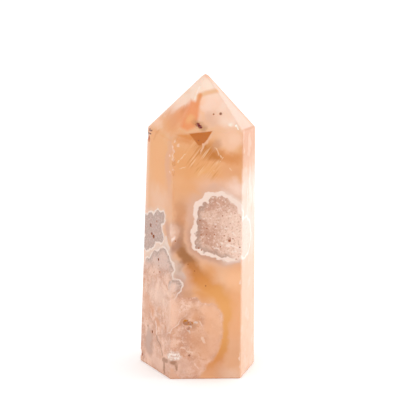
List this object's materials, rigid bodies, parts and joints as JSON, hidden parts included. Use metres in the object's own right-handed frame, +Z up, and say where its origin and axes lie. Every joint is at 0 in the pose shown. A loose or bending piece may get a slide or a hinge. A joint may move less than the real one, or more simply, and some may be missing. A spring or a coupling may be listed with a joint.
{
  "type": "cherry blossom agate point",
  "caption": "Free-standing polished agate tower: a tapering six-sided shaft with a flat base and a six-faceted point.",
  "frame": {"origin": "on the flat base, under the middle of the stone's box", "axes": "+Z up from the base to the point; -Y out of the front face, which shows the large blossom plume; +X to the right of it"},
  "size_m": [0.0313, 0.0237, 0.0797],
  "materials": {
    "polished_agate": "polished"
  },
  "bodies": {
    "root": {"agate_point": "polished_agate"}
  },
  "joints": []
}
